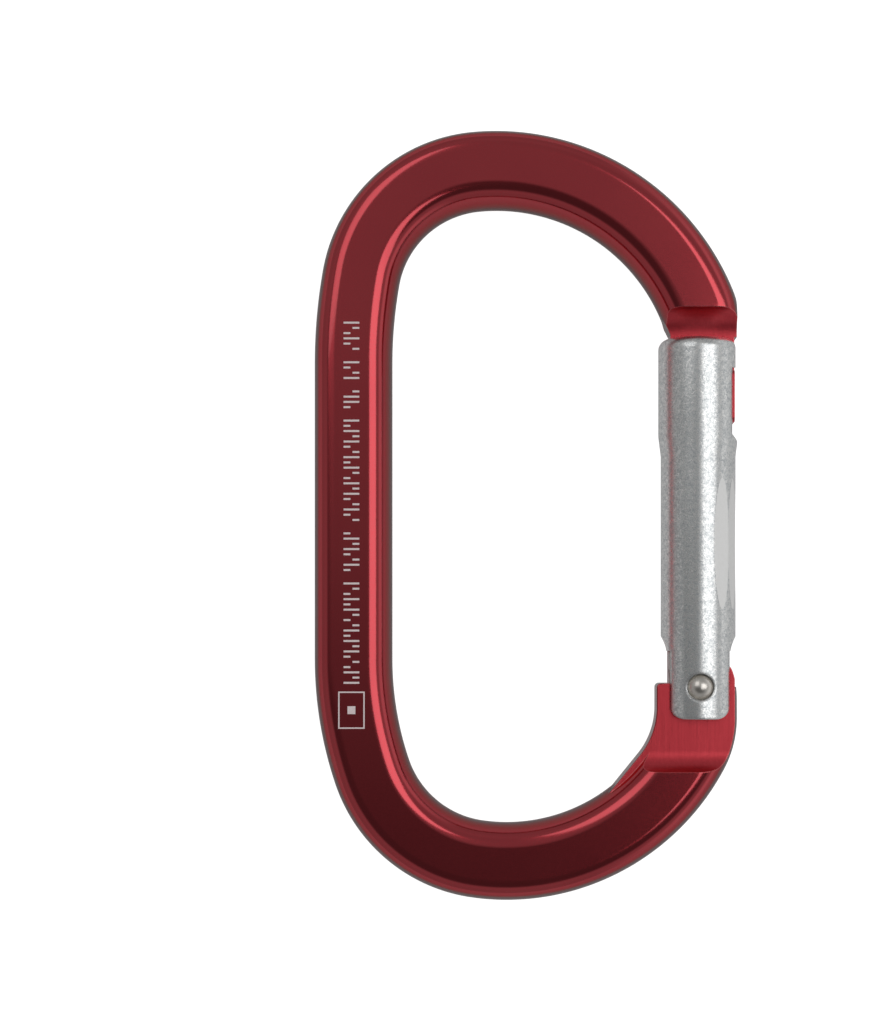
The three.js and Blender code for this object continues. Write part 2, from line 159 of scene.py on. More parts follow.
def plate(pen: Pen, low: float, high: float) -> bmesh.types.BMesh:
    """Make a closed outline into a solid plate.

    Args:
        pen: a closed outline.
        low: where the plate starts along the outline's normal, in millimetres.
        high: where it ends.

    Returns:
        The plate's mesh.
    """
    mesh = pen.mesh
    normal = pen.plane.normal
    bmesh.ops.translate(mesh, verts=mesh.verts[:], vec=normal * low * MM)
    bmesh.ops.contextual_create(mesh, geom=mesh.edges[:])
    raised = bmesh.ops.extrude_face_region(mesh, geom=mesh.faces[:], use_keep_orig=True)
    moved = [g for g in raised["geom"] if isinstance(g, bmesh.types.BMVert)]
    bmesh.ops.translate(mesh, verts=moved, vec=normal * (high - low) * MM)
    return tidy(mesh)


def lathe(pen: Pen, axis: Vector, steps: int) -> bmesh.types.BMesh:
    """Turn an outline that starts and ends on its axis into a round solid.

    Args:
        pen: the outline, drawn from a point on the axis.
        axis: the direction of the axis.
        steps: the number of facets round the axis.

    Returns:
        The solid's mesh.
    """
    mesh = pen.mesh
    bmesh.ops.spin(
        mesh, geom=mesh.verts[:] + mesh.edges[:], cent=pen.origin, axis=axis,
        angle=2 * math.pi, steps=steps, use_merge=True,
    )
    return tidy(mesh)


def box(low: tuple[float, float, float], high: tuple[float, float, float]) -> bmesh.types.BMesh:
    """Make a box from two corners, in millimetres from the hinge pin."""
    mesh = bmesh.new()
    bmesh.ops.create_cube(mesh, size=1)
    size = Vector(high) - Vector(low)
    middle = (Vector(high) + Vector(low)) / 2
    bmesh.ops.scale(mesh, verts=mesh.verts[:], vec=size * MM)
    bmesh.ops.translate(mesh, verts=mesh.verts[:], vec=PIN + middle * MM)
    return mesh


def rod(radius: float, low: float, high: float, along: Vector, steps: int = 64) -> bmesh.types.BMesh:
    """Make a round rod through the hinge pin's middle.

    Args:
        radius: its radius, in millimetres.
        low: where it starts along its axis, in millimetres.
        high: where it ends.
        along: the direction of its axis.
        steps: the number of facets round it.

    Returns:
        The rod's mesh.
    """
    mesh = bmesh.new()
    bmesh.ops.create_cone(
        mesh, cap_ends=True, segments=steps, radius1=radius * MM, radius2=radius * MM,
        depth=(high - low) * MM,
    )
    turn = AXIS_Z.rotation_difference(along).to_matrix().to_4x4()
    place = Matrix.Translation(PIN + along * (low + high) / 2 * MM)
    bmesh.ops.transform(mesh, matrix=place @ turn, verts=mesh.verts[:])
    return mesh


def turned(mesh: bmesh.types.BMesh, axis: Vector, degrees: float) -> bmesh.types.BMesh:
    """Turn a mesh round an axis through the hinge pin and return it."""
    bmesh.ops.rotate(
        mesh, verts=mesh.verts[:], cent=PIN, matrix=Matrix.Rotation(math.radians(degrees), 3, axis),
    )
    return mesh


def new_object(
    name: str, mesh: bmesh.types.BMesh, finishes: list[bpy.types.Material],
) -> bpy.types.Object:
    """Put a mesh in the scene as an object and free the mesh.

    Args:
        name: the object's name.
        mesh: its shape.
        finishes: its materials, in the order of the faces' material numbers.

    Returns:
        The object, at the origin.
    """
    data = bpy.data.meshes.new(name)
    mesh.to_mesh(data)
    mesh.free()
    for finish in finishes:
        data.materials.append(finish)
    piece = bpy.data.objects.new(name, data)
    bpy.context.scene.collection.objects.link(piece)
    return piece


class Join(Enum):
    """How a tool acts on the piece it meets."""

    CUT = "DIFFERENCE"
    ADD = "UNION"


def work(piece: bpy.types.Object, tools: list[tuple[Join, bmesh.types.BMesh, int]]) -> None:
    """Cut and join a piece with tools, one after the other.

    Args:
        piece: the piece, which keeps its materials.
        tools: how each tool acts, its closed mesh, and the material number of the faces it leaves,
            or -1 to keep the numbers that they have.
    """
    made = []
    for number, (join, mesh, material) in enumerate(tools):
        for face in mesh.faces if material >= 0 else ():
            face.material_index = material
        tool = new_object(f"tool_{number}", mesh, list(piece.data.materials))
        step = piece.modifiers.new(f"step_{number}", "BOOLEAN")
        step.object = tool
        step.operation = join.value
        step.solver = "MANIFOLD"
        made.append(tool)
    graph = bpy.context.evaluated_depsgraph_get()
    worked = bpy.data.meshes.new_from_object(piece.evaluated_get(graph))
    worked.name = piece.data.name
    piece.modifiers.clear()
    piece.data = worked
    for tool in made:
        bpy.data.objects.remove(tool)


def shade(piece: bpy.types.Object, limit: float, seam_limit: float) -> None:
    """Shade a piece smooth, with crisp edges where its faces turn sharply.

    Args:
        piece: the piece.
        limit: the angle, in degrees, from which an edge is crisp.
        seam_limit: the same for an edge between two finishes.
    """
    mesh = bmesh.new()
    mesh.from_mesh(piece.data)
    for face in mesh.faces:
        face.smooth = True
    for edge in mesh.edges:
        if len(edge.link_faces) != 2:
            continue
        one, two = edge.link_faces
        seam = one.material_index != two.material_index
        turn = math.degrees(edge.calc_face_angle(0))
        edge.smooth = turn < (seam_limit if seam else limit)
    mesh.to_mesh(piece.data)
    mesh.free()
    weigh = piece.modifiers.new("weighted_normals", "WEIGHTED_NORMAL")
    weigh.keep_sharp = True
    weigh.weight = 80


# ---------------------------------------------------------------- finishes


class Wiring:
    """Adds nodes to a tree and joins them.

    Args:
        tree: a material's or a group's node tree.
    """

    def __init__(self, tree: bpy.types.NodeTree) -> None:
        """Keep the tree that the nodes go in."""
        self.tree = tree

    def add(self, kind: str, values: dict | None = None, **settings: object) -> bpy.types.Node:
        """Add a node.

        Args:
            kind: the node's type, without the ShaderNode in front.
            values: what its inputs are set to, or the sockets they are joined to, by name or number.
            settings: its own properties.

        Returns:
            The node.
        """
        node = self.tree.nodes.new("ShaderNode" + kind)
        for name, value in settings.items():
            setattr(node, name, value)
        for name, value in (values or {}).items():
            if isinstance(value, bpy.types.NodeSocket):
                self.tree.links.new(value, node.inputs[name])
            else:
                node.inputs[name].default_value = value
        return node

    def group(self, group: bpy.types.NodeTree, values: dict) -> bpy.types.Node:
        """Add a node group with its inputs set."""
        return self.add("Group", values, node_tree=group)

    def maths(self, operation: str, *values: object, clamp: bool = False) -> bpy.types.NodeSocket:
        """Add a Math node and return its result."""
        node = self.add("Math", dict(enumerate(values)), operation=operation, use_clamp=clamp)
        return node.outputs[0]

    def blend(self, factor: object, one: object, two: object) -> bpy.types.NodeSocket:
        """Mix two colours by a factor and return the colour."""
        node = self.add("Mix", {0: factor, 6: one, 7: two}, data_type="RGBA")
        return node.outputs[2]

    def bump(
        self, height: bpy.types.NodeSocket, strength: float, distance: float, edges: float = 0,
    ) -> bpy.types.Node:
        """Add relief.

        Args:
            height: the height that drives it.
            strength: how much of it shows.
            distance: its depth, in metres.
            edges: the radius that crisp edges are softened over, in metres, or 0 to leave them.

        Returns:
            The Bump node.
        """
        values = {"Height": height, "Strength": strength, "Distance": distance}
        if edges:
            values["Normal"] = soften(self, edges)
        return self.add("Bump", values)

    def spread(
        self, value: object, low: float, high: float, start: object, end: object,
    ) -> bpy.types.NodeSocket:
        """Map a range of a value to another range, clamped, and return the result."""
        node = self.add("MapRange", {0: value, 1: low, 2: high, 3: start, 4: end})
        return node.outputs[0]


def new_group(
    name: str, inputs: dict[str, float], outputs: list[str],
) -> tuple[bpy.types.NodeTree, Wiring, dict]:
    """Start a shader node group.

    Args:
        name: the group's name.
        inputs: the name and the usual value of each number that it takes.
        outputs: the name of each number that it gives.

    Returns:
        The group, its wiring, and its input sockets by name, with "out" for the node that ends it.
    """
    group = bpy.data.node_groups.new(name, "ShaderNodeTree")
    kind = "NodeSocketFloat"
    for label, usual in inputs.items():
        socket = group.interface.new_socket(name=label, in_out="INPUT", socket_type=kind)
        socket.default_value = usual
    for label in outputs:
        group.interface.new_socket(name=label, in_out="OUTPUT", socket_type=kind)
    wiring = Wiring(group)
    start = group.nodes.new("NodeGroupInput")
    end = group.nodes.new("NodeGroupOutput")
    sockets = {label: start.outputs[label] for label in inputs}
    return group, wiring, sockets | {"out": end}


class Effects:
    """The shader node groups that more than one finish uses, each built once."""

    def __init__(self) -> None:
        """Build every group."""
        self.grain = self.build_grain()
        self.waves = self.build_waves()
        self.strokes = self.build_strokes()
        # The edge mask lightens crisp edges: part edge wear, part painted highlight.
        self.wear_and_highlight = self.build_edge_wear_and_highlight()

    @staticmethod
    def build_grain() -> bpy.types.NodeTree:
        """A fine speckle at two sizes: gives a tone round 0.5 and a height."""
        inputs = {"Scale": 3000, "Contrast": 1}
        group, wiring, sockets = new_group("fine_grain", inputs, ["Tone", "Height"])
        place = wiring.add("TexCoord").outputs["Object"]
        settings = {"Vector": place, "Scale": sockets["Scale"], "Detail": 2, "Roughness": 0.6}
        coarse = wiring.add("TexNoise", settings)
        fine_scale = wiring.maths("MULTIPLY", sockets["Scale"], 2.7)
        fine = wiring.add("TexVoronoi", {"Vector": place, "Scale": fine_scale})
        patches = wiring.maths("MULTIPLY", coarse.outputs[0], 0.8)
        speck = wiring.maths("MULTIPLY_ADD", fine.outputs["Distance"], 0.5, patches)
        centred = wiring.maths("SUBTRACT", speck, 0.65)
        tone = wiring.maths("MULTIPLY_ADD", centred, sockets["Contrast"], 0.5)
        end = sockets["out"]
        group.links.new(wiring.maths("ADD", tone, 0, clamp=True), end.inputs["Tone"])
        group.links.new(speck, end.inputs["Height"])
        return group

    @staticmethod
    def build_waves() -> bpy.types.NodeTree:
        """The slow unevenness of a forged or tumbled surface, as a height from 0 to 1."""
        group, wiring, sockets = new_group("slow_waves", {"Scale": 120}, ["Height"])
        place = wiring.add("TexCoord").outputs["Object"]
        settings = {"Vector": place, "Scale": sockets["Scale"], "Detail": 1.5, "Roughness": 0.4}
        noise = wiring.add("TexNoise", settings)
        group.links.new(noise.outputs[0], sockets["out"].inputs["Height"])
        return group

    @staticmethod
    def build_strokes() -> bpy.types.NodeTree:
        """Fine lines along the part, left by a cutter that runs along Y, as a height from 0 to 1."""
        inputs = {"Scale": 2500, "Stretch": 0.04}
        group, wiring, sockets = new_group("cutter_strokes", inputs, ["Height"])
        place = wiring.add("TexCoord").outputs["Object"]
        split = wiring.add("SeparateXYZ", {0: place})
        stretched = wiring.maths("MULTIPLY", split.outputs[1], sockets["Stretch"])
        joined = wiring.add("CombineXYZ", {0: split.outputs[0], 1: stretched, 2: split.outputs[2]})
        settings = {"Vector": joined.outputs[0], "Scale": sockets["Scale"], "Detail": 3, "Roughness": 0.65}
        noise = wiring.add("TexNoise", settings)
        group.links.new(noise.outputs[0], sockets["out"].inputs["Height"])
        return group

    @staticmethod
    def build_edge_wear_and_highlight() -> bpy.types.NodeTree:
        """A mask of the crisp edges, where a rounded normal leaves the true one, with noise in it: edge
        wear, and also a painted highlight along the edges.
        """
        group, wiring, sockets = new_group("edge_wear_and_highlight", {"Width": 0.0004, "Amount": 1}, ["Mask"])
        rounded = wiring.add("Bevel", {"Radius": sockets["Width"]}, samples=6)
        true = wiring.add("NewGeometry")
        normals = {0: rounded.outputs[0], 1: true.outputs["Normal"]}
        facing = wiring.add("VectorMath", normals, operation="DOT_PRODUCT")
        lean = wiring.maths("SUBTRACT", 1, facing.outputs["Value"])
        place = wiring.add("TexCoord").outputs["Object"]
        noise = wiring.add("TexNoise", {"Vector": place, "Scale": 900, "Detail": 3})
        broken = wiring.spread(noise.outputs[0], 0.35, 0.65, 0.35, 1)
        patchy = wiring.maths("MULTIPLY", broken, sockets["Amount"])
        mask = wiring.maths("MULTIPLY", wiring.maths("MULTIPLY", lean, 9), patchy)
        group.links.new(wiring.maths("ADD", mask, 0, clamp=True), sockets["out"].inputs["Mask"])
        return group


def soften(wiring: Wiring, radius: float) -> bpy.types.NodeSocket:
    """A normal that rounds the crisp edges over a small radius, in metres."""
    return wiring.add("Bevel", {"Radius": radius}, samples=6).outputs[0]


def dress(
    wiring: Wiring, shader: bpy.types.Node, tone: bpy.types.NodeSocket,
    rough: bpy.types.NodeSocket, bump: bpy.types.Node,
) -> None:
    """Join a finish's colour, roughness and relief to its shader."""
    for socket, value in (("Base Color", tone), ("Roughness", rough), ("Normal", bump.outputs[0])):
        wiring.tree.links.new(value, shader.inputs[socket])


def start_finish(name: str) -> tuple[bpy.types.Material, Wiring, bpy.types.Node]:
    """Start a material.

    Args:
        name: the material's name.

    Returns:
        The material, its wiring and its Principled shader.
    """
    material = bpy.data.materials.new(name)
    material.use_nodes = True
    shader = material.node_tree.nodes["Principled BSDF"]
    return material, Wiring(material.node_tree), shader


def colour(hex_code: str) -> tuple[float, float, float, float]:
    """Turn a screen colour, as six hexadecimal digits, into a linear colour."""
    parts = [int(hex_code[i:i + 2], 16) / 255 for i in (0, 2, 4)]
    linear = [p / 12.92 if p <= 0.04045 else ((p + 0.055) / 1.055) ** 2.4 for p in parts]
    return (*linear, 1)


@dataclass(frozen=True)
class AnodisedRed:
    """Red anodised aluminium: a dyed metal under a clear, hard, glossy skin."""

    name: str = "red_anodised"
    dye: str = "bd3e45"
    deep_dye: str = "b3353f"
    # edge: the colour the crisp edges turn, partly edge wear and partly a painted highlight.
    edge: str = "d9696c"
    # The tint at grazing angles is darkened to a dark red: painted shade on the reflections at the sides.
    painted_grazing_shade: str = "521c1c"
    roughness: float = 0.17
    skin_roughness: float = 0.06

    def build(self, effects: Effects) -> bpy.types.Material:
        """Build the material from the shared effects."""
        material, wiring, shader = start_finish(self.name)
        waves = wiring.group(effects.waves, {"Scale": 90})
        grain = wiring.group(effects.grain, {"Scale": 2600, "Contrast": 0.8})
        wear_and_highlight = wiring.group(effects.wear_and_highlight, {"Width": 0.0003, "Amount": 0.5})
        dye = wiring.blend(waves.outputs["Height"], colour(self.deep_dye), colour(self.dye))
        # Lighter along the crisp edges: edge wear with a painted highlight.
        worn_and_highlighted = wiring.blend(wear_and_highlight.outputs["Mask"], dye, colour(self.edge))
        rough = wiring.spread(grain.outputs["Tone"], 0, 1, self.roughness - 0.04, self.roughness + 0.04)
        height = wiring.maths("MULTIPLY_ADD", grain.outputs["Height"], 0.04, waves.outputs["Height"])
        bump = wiring.bump(height, 0.25, 0.00003, 0.00015)
        dress(wiring, shader, worn_and_highlighted, rough, bump)
        shader.inputs["Metallic"].default_value = 1
        shader.inputs["Coat Weight"].default_value = 0.7
        # Dark red grazing tint: painted shade on the sides' reflections.
        shader.inputs["Specular Tint"].default_value = colour(self.painted_grazing_shade)
        shader.inputs["Coat Roughness"].default_value = self.skin_roughness
        return material


@dataclass(frozen=True)
class MilledRed:
    """Red anodised aluminium where a cutter has left fine lines: brighter and more satin."""

    name: str = "red_milled"
    dye: str = "e04a54"
    deep_dye: str = "c63a44"
    # edge: the colour the crisp edges turn, partly edge wear and partly a painted highlight.
    edge: str = "ee8c8e"
    roughness: float = 0.38

    def build(self, effects: Effects) -> bpy.types.Material:
        """Build the material from the shared effects."""
        material, wiring, shader = start_finish(self.name)
        strokes = wiring.group(effects.strokes, {"Scale": 3200, "Stretch": 0.05})
        grain = wiring.group(effects.grain, {"Scale": 4200, "Contrast": 1.2})
        wear_and_highlight = wiring.group(effects.wear_and_highlight, {"Width": 0.0003, "Amount": 0.9})
        dye = wiring.blend(strokes.outputs["Height"], colour(self.deep_dye), colour(self.dye))
        # Lighter along the crisp edges: edge wear with a painted highlight.
        worn_and_highlighted = wiring.blend(wear_and_highlight.outputs["Mask"], dye, colour(self.edge))
        rough = wiring.spread(grain.outputs["Tone"], 0, 1, self.roughness - 0.08, self.roughness + 0.08)
        height = wiring.maths("MULTIPLY_ADD", grain.outputs["Height"], 0.3, strokes.outputs["Height"])
        bump = wiring.bump(height, 0.35, 0.00003, 0.0002)
        dress(wiring, shader, worn_and_highlighted, rough, bump)
        shader.inputs["Metallic"].default_value = 1
        shader.inputs["Coat Weight"].default_value = 0.3
        shader.inputs["Coat Roughness"].default_value = 0.22
        return material


@dataclass(frozen=True)
class TumbledAluminium:
    """Bare aluminium that has been tumbled: a fine grey speckle with a soft shine."""

    name: str = "tumbled_aluminium"
    light: str = "fafaf8"
    dark: str = "b9bec1"
    roughness: float = 0.29
    speckle: float = 1.9
    grain_height: float = 0.00002

    def build(self, effects: Effects) -> bpy.types.Material:
        """Build the material from the shared effects."""
        material, wiring, shader = start_finish(self.name)
        grain = wiring.group(effects.grain, {"Scale": 1900, "Contrast": self.speckle})
        waves = wiring.group(effects.waves, {"Scale": 260})
        wear_and_highlight = wiring.group(effects.wear_and_highlight, {"Width": 0.0003, "Amount": 0.6})
        tone = wiring.blend(grain.outputs["Tone"], colour(self.dark), colour(self.light))
        # Lighter along the crisp edges: edge wear with a painted highlight.
        worn_and_highlighted = wiring.blend(wear_and_highlight.outputs["Mask"], tone, colour("f0f0ee"))
        rough = wiring.spread(grain.outputs["Tone"], 0, 1, self.roughness + 0.09, self.roughness - 0.05)
        height = wiring.maths("MULTIPLY_ADD", waves.outputs["Height"], 1.5, grain.outputs["Height"])
        bump = wiring.bump(height, 0.2, self.grain_height, 0.0005)
        dress(wiring, shader, worn_and_highlighted, rough, bump)
        shader.inputs["Metallic"].default_value = 1
        return material


@dataclass(frozen=True)
class Steel:
    """Polished or drawn steel."""

    name: str
    light: str
    dark: str
    roughness: float
    scale: float = 1800

    def build(self, effects: Effects) -> bpy.types.Material:
        """Build the material from the shared effects."""
        material, wiring, shader = start_finish(self.name)
        grain = wiring.group(effects.grain, {"Scale": self.scale, "Contrast": 1})
        waves = wiring.group(effects.waves, {"Scale": 900})
        tone = wiring.blend(waves.outputs["Height"], colour(self.dark), colour(self.light))
        rough = wiring.spread(grain.outputs["Tone"], 0, 1, self.roughness - 0.05, self.roughness + 0.05)
        bump = wiring.bump(grain.outputs["Height"], 0.2, 0.00001)
        dress(wiring, shader, tone, rough, bump)
        shader.inputs["Metallic"].default_value = 1
        return material


@dataclass(frozen=True)
class EtchedMark:
    """Anodising that has been etched away to a pale, matt pink."""

    name: str = "etched_mark"
    pale: str = "ffffff"
    shade: str = "fbdcdc"

    def build(self, effects: Effects) -> bpy.types.Material:
        """Build the material from the shared effects."""
        material, wiring, shader = start_finish(self.name)
        grain = wiring.group(effects.grain, {"Scale": 5200, "Contrast": 1.6})
        tone = wiring.blend(grain.outputs["Tone"], colour(self.shade), colour(self.pale))
        rough = wiring.spread(grain.outputs["Tone"], 0, 1, 0.5, 0.7)
        bump = wiring.bump(grain.outputs["Height"], 0.3, 0.00002)
        dress(wiring, shader, tone, rough, bump)
        return material


@dataclass
class Finishes:
    """Every finish on the carabiner, built once."""

    effects: Effects = field(default_factory=Effects)

    def __post_init__(self) -> None:
        """Build the materials."""
        self.red = AnodisedRed().build(self.effects)
        self.milled_red = MilledRed().build(self.effects)
        self.aluminium = TumbledAluminium().build(self.effects)
        self.milled_aluminium = TumbledAluminium(
            name="milled_aluminium", light="ffffff", dark="f6f6f4", roughness=0.42, speckle=0.8,
            grain_height=0.00001,
        ).build(self.effects)
        self.stainless = Steel("stainless", "e8e4de", "cfcac2", 0.3).build(self.effects)
        self.spring_steel = Steel("spring_steel", "a5a8ab", "84888c", 0.3).build(self.effects)
        self.etched = EtchedMark().build(self.effects)


# ---------------------------------------------------------------- the body


@dataclass(frozen=True)
class Bend:
    """One bend of the bar: its radius in millimetres, its turn in degrees and its facets."""

    radius: float
    turn: float
    steps: int


@dataclass
class CarabinerBody:
    """The forged bar, bent to an oval, with a milled nose at one end and a tang at the other."""

    width: float = 11
    thickness: float = 10.4
    flat: float = 4.4
    edge_round: float = 2.8
    nose_straight: float = 21.7
    nose_bends: tuple[Bend, ...] = (
        Bend(70.2, 10.05, 12), Bend(18.25, 74.5, 44), Bend(30.8, 73.05, 48), Bend(8, 22.4, 10),
    )
    nose_tail: float = 15
    hinge_straight: float = 20.2
    hinge_bends: tuple[Bend, ...] = (
        Bend(49.85, 18.74, 16), Bend(18.45, 62.9, 38), Bend(29.45, 70.36, 46), Bend(10, 28, 12),
    )
    hinge_tail: float = 11
    nose_face: float = 53.2
    scoop: float = 4.2
    neck_half: float = 2.1
    neck_inner: float = -4.1
    key_top: float = 44.6
    key_bottom: float = 37.3
    key_half: float = 3
    key_inner: float = -3.3
    key_round: float = 0.7
    nose_outer: float = 5.3
    key_outer: float = 4.95
    key_flat_top: float = 49.3
    tang_half: float = 3
    tang_foot: float = -9
    tang_fillet: float = 3
    cam_foot: float = -3.9
    shoulder_x: float = -6.05
    shoulder_y: float = 0.5
    shoulder_round: float = 0.6
    bore: float = 1.6
    overcut: float = 12
    overlap: float = 0.5

    def section(self) -> Pen:
        """Draw the bar's section at the middle of the spine: two flats, two round sides."""
        half_flat, half_width, half_thickness = self.flat / 2, self.width / 2, self.thickness / 2
        rise = half_thickness - self.edge_round
        reach = half_width - half_flat
        side = (rise ** 2 + reach ** 2 - self.edge_round ** 2) / (2 * (reach - self.edge_round))
        centre = half_width - side
        join = math.degrees(math.atan2(half_flat - centre, rise))
        pen = Pen(Plane.SECTION, SPINE, (-half_flat, half_thickness))
        for way in (1, -1):
            pen.to(way * half_flat, way * half_thickness)
            pen.turn(way * half_flat, way * rise, -join, 14)
            pen.turn(way * centre, 0, 2 * join - 180, 12)
            pen.turn(way * half_flat, -way * rise, -join, 14)
        return pen.close()

    def sweep_half(
        self, mesh: bmesh.types.BMesh, ring: list, straight: float, bends: tuple[Bend, ...],
        tail: float, way: int,
    ) -> None:
        """Draw the ring at the middle of the spine out to one end of the bar.

        Args:
            mesh: the bar's mesh.
            ring: the section's edges at the middle of the spine.
            straight: the length of the spine up to its first bend, in millimetres.
            bends: the bends that follow.
            tail: the length of the straight at the end.
            way: 1 towards the nose, -1 towards the hinge.
        """
        place = SPINE.copy()
        heading = AXIS_Y * way
        place, ring = self.draw_out(mesh, ring, place, heading, straight)
        for bend in bends:
            inward = Matrix.Rotation(-way * math.pi / 2, 3, "Z") @ heading
            turn = -way * math.radians(bend.turn)
            centre = place + inward * bend.radius * MM
            made = bmesh.ops.spin(
                mesh, geom=ring, cent=centre, axis=AXIS_Z, angle=turn, steps=bend.steps,
            )
            ring = [g for g in made["geom_last"] if isinstance(g, bmesh.types.BMEdge)]
            spin = Matrix.Rotation(turn, 3, "Z")
            place = centre + spin @ (place - centre)
            heading = spin @ heading
        place, ring = self.draw_out(mesh, ring, place, heading, tail)
        bmesh.ops.contextual_create(mesh, geom=ring)

    @staticmethod
    def draw_out(
        mesh: bmesh.types.BMesh, ring: list, place: Vector, heading: Vector, length: float,
    ) -> tuple[Vector, list]:
        """Extrude a ring of edges straight on.

        Args:
            mesh: the bar's mesh.
            ring: the edges.
            place: the ring's middle.
            heading: the direction to go.
            length: how far, in millimetres.

        Returns:
            The new ring's middle and the new ring's edges.
        """
        made = bmesh.ops.extrude_edge_only(mesh, edges=ring)["geom"]
        step = heading * length * MM
        moved = [g for g in made if isinstance(g, bmesh.types.BMVert)]
        bmesh.ops.translate(mesh, verts=moved, vec=step)
        return place + step, [g for g in made if isinstance(g, bmesh.types.BMEdge)]

    def bar(self) -> bmesh.types.BMesh:
        """Sweep the whole bar, closed at both ends."""
        mesh = self.section().mesh
        ring = mesh.edges[:]
        self.sweep_half(mesh, ring, self.nose_straight, self.nose_bends, self.nose_tail, 1)
        self.sweep_half(mesh, ring, self.hinge_straight, self.hinge_bends, self.hinge_tail, -1)
        return tidy(mesh)

    def nose_side_tool(self) -> bmesh.types.BMesh:
        """The side outline milled off the nose's front: scoop, neck and key."""
        top = self.thickness / 2
        drop = top - self.neck_half
        run = math.sqrt(self.scoop ** 2 - (self.scoop - drop) ** 2)
        start = math.degrees(math.atan2(drop - self.scoop, run))
        neck_top = self.nose_face - run
        inner = self.key_half - self.key_round
        pen = Pen(Plane.SIDE, PIN, (self.nose_face, self.overcut)).to(self.nose_face, top)
        pen.turn(neck_top, self.neck_half + self.scoop, -90 - start, 20)
        pen.to(self.key_top, self.neck_half).to(self.key_top, inner)
        pen.turn(self.key_top - self.key_round, inner, 90, 8)
        pen.to(self.key_bottom + self.key_round, self.key_half)
        pen.turn(self.key_bottom + self.key_round, inner, 90, 8)
        pen.to(self.key_bottom, -self.overlap).to(self.key_bottom - self.overcut, -self.overlap)
        pen.to(self.key_bottom - self.overcut, self.overcut)
        return plate(pen.close(), -self.overcut, self.overcut)

    def nose_inner_tool(self) -> bmesh.types.BMesh:
        """The plan outline milled off the nose's inner side."""
        low = self.key_bottom - self.overcut
        top, neck_top, neck_foot, start = 52.4, 49.6, 47.5, -5.4
        pen = Pen(Plane.PLAN, PIN, (start, top)).to(self.neck_inner, neck_top)
        pen.to(self.neck_inner, neck_foot)
        pen.to(self.key_inner, self.key_top).to(self.key_inner, low)
        pen.to(-self.overcut, low).to(-self.overcut, top)
        return plate(pen.close(), -self.overcut, self.overcut)

    def tang_side_tool(self) -> bmesh.types.BMesh:
        """The side outline milled off the tang's front: a flat that ends in a fillet."""
        drop = self.thickness / 2 - self.tang_half
        run = math.sqrt(self.tang_fillet ** 2 - (self.tang_fillet - drop) ** 2)
        sweep = 90 - math.degrees(math.asin((self.tang_fillet - drop) / self.tang_fillet))
        edge = self.tang_foot - run
        pen = Pen(Plane.SIDE, PIN, (self.overcut, self.tang_half)).to(self.overcut, self.overcut)
        pen.to(edge, self.overcut).to(edge, self.thickness / 2)
        pen.turn(self.tang_foot, self.tang_half + self.tang_fillet, sweep, 20)
        return plate(pen.close(), -self.overcut, self.overcut)

    def cam_point(self, degrees: float) -> tuple[float, float]:
        """A point of the cam, at an angle the gate swings in by: the plunger's path moved in."""
        rise, rest, offset = 1.4, 5.5, 2.2
        angle = math.radians(degrees)
        reach = rest + rise * angle
        lean = angle - math.atan2(rise, reach)
        return (
            -reach * math.sin(angle) + offset * math.sin(lean),
            reach * math.cos(angle) - offset * math.cos(lean),
        )

    def tang_plan_tool(self) -> bmesh.types.BMesh:
        """Everything milled off round the tang's end: the outer curve, the cam, the shoulder."""
        outer, foot, bend, turn, tip = 5.49, -3.3, 18.3, 17, 2.4
        reach = bend - tip
        lean = math.radians(turn)
        pen = Pen(Plane.PLAN, PIN, (self.overcut, self.overcut)).to(self.overcut, foot).to(outer, foot)
        pen.turn(outer - bend, foot, turn, 16)
        pen.turn(outer - bend + reach * math.cos(lean), foot + reach * math.sin(lean), 90 - turn, 12)
        for degrees in range(-6, 55, 2):
            pen.to(*self.cam_point(degrees))
        pen.to(self.cam_foot, self.shoulder_y).to(-self.overcut, self.shoulder_y)
        pen.to(-self.overcut, self.overcut)
        return plate(pen.close(), -self.overcut, self.overcut)

    def tang_plate(self) -> bmesh.types.BMesh:
        """The tang's plate, whose shoulder stands further in than the bar."""
        corner, foot, bend, turn, low = 0.6, -2.9, 10.66, 39, -15.2
        pen = Pen(Plane.PLAN, PIN, (-6, low)).to(2, -10.4).to(2, 6)
        pen.to(self.cam_foot, 6).to(self.cam_foot, self.shoulder_y)
        pen.to(self.shoulder_x + corner, self.shoulder_y)
        pen.turn(self.shoulder_x + corner, self.shoulder_y - corner, 90, 8)
        pen.to(self.shoulder_x, foot)
        pen.turn(self.shoulder_x - bend, foot, -turn, 20)
        wall_end = self.shoulder_x - bend * (1 - math.cos(math.radians(turn)))
        run_out = low - (foot - bend * math.sin(math.radians(turn)))
        pen.to(wall_end + run_out * math.tan(math.radians(turn)), low)
        mesh = plate(pen.close(), -self.tang_half, self.tang_half)
        inner = [e for e in mesh.edges if self.is_inner_edge(e)]
        bmesh.ops.bevel(
            mesh, geom=inner, offset=self.shoulder_round * MM, segments=6, profile=0.5,
            affect="EDGES", material=-1, clamp_overlap=True,
        )
        tidy(mesh)
        for face in mesh.faces:
            face.material_index = int(abs(face.normal.z) > 0.999)
        return mesh

    def is_inner_edge(self, edge: bmesh.types.BMEdge) -> bool:
        """Whether an edge of the tang's plate runs along its inner side, at its front or back."""
        flat = all(abs(abs(v.co.z - PIN.z) - self.tang_half * MM) < 1e-6 for v in edge.verts)
        inner = all(v.co.x - PIN.x < (self.shoulder_x + 1) * MM for v in edge.verts)
        inner = inner and abs(edge.verts[0].co.y - edge.verts[1].co.y) > 1e-6
        return flat and inner

